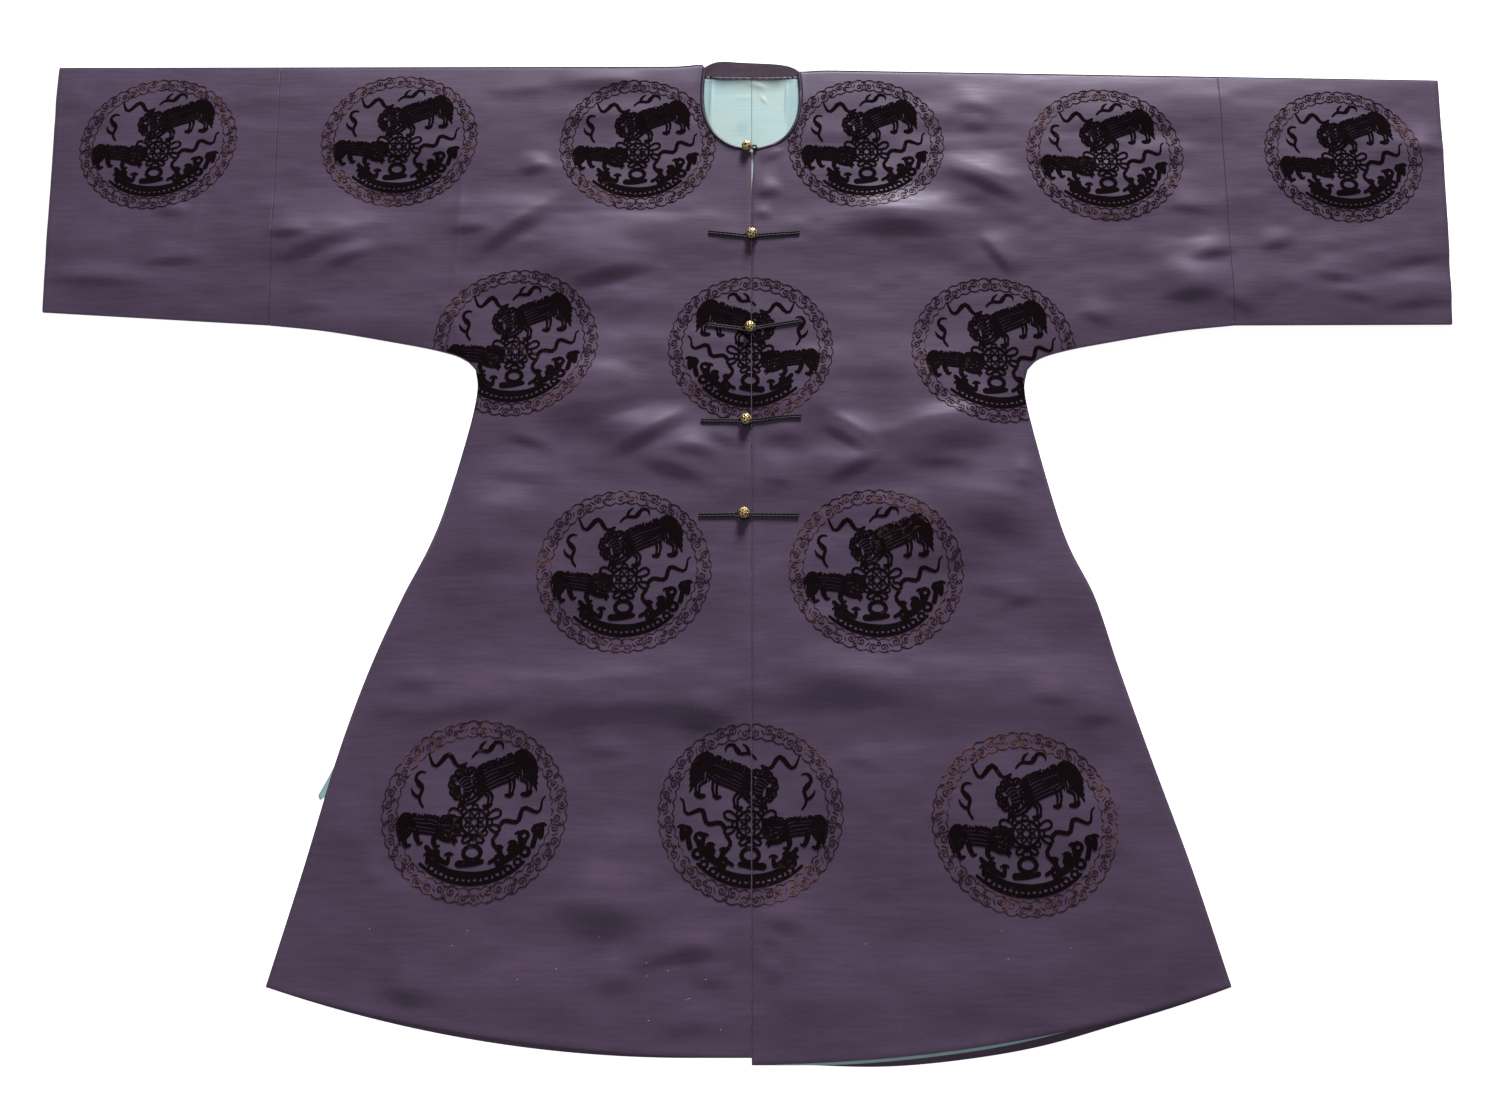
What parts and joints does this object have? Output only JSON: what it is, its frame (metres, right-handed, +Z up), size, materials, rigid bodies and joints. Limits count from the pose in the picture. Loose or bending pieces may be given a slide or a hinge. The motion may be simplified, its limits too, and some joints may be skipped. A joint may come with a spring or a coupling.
{
  "type": "surcoat",
  "caption": "Front-opening silk surcoat laid flat, with wide sleeves, flared skirt, round neck, low collar band, cord loops with ball buttons, velvet roundels and a pale lining.",
  "frame": {"origin": "on the floor under the middle of the garment's outline, on its underside", "axes": "+Z up from the back layer to the front layer; +Y from the hem to the neck; +X to the wearer's left sleeve"},
  "size_m": [1.696, 1.1776, 0.0213],
  "materials": {
    "silk": "satin silk with cut velvet roundels",
    "binding": "satin binding",
    "lining": "plain silk",
    "cord": "satin cord",
    "gilt": "gilt openwork"
  },
  "bodies": {
    "root": {"body_right": "silk", "body_left": "silk", "sleeve_right": "silk", "sleeve_left": "silk", "collar_band": "binding", "neck_binding_right": "binding", "neck_binding_left": "binding", "lining_neck_right": "lining", "lining_neck_left": "lining", "lining_hem_left": "lining", "lining_side_right": "lining", "loop_chest": "cord", "knot_chest": "cord", "ball_chest": "gilt", "loop_breast": "cord", "knot_breast": "cord", "ball_breast": "gilt", "loop_waist": "cord", "knot_waist": "cord", "ball_waist": "gilt", "loop_hip": "cord", "knot_hip": "cord", "ball_hip": "gilt", "loop_neck": "binding", "ball_neck": "gilt"}
  },
  "joints": []
}
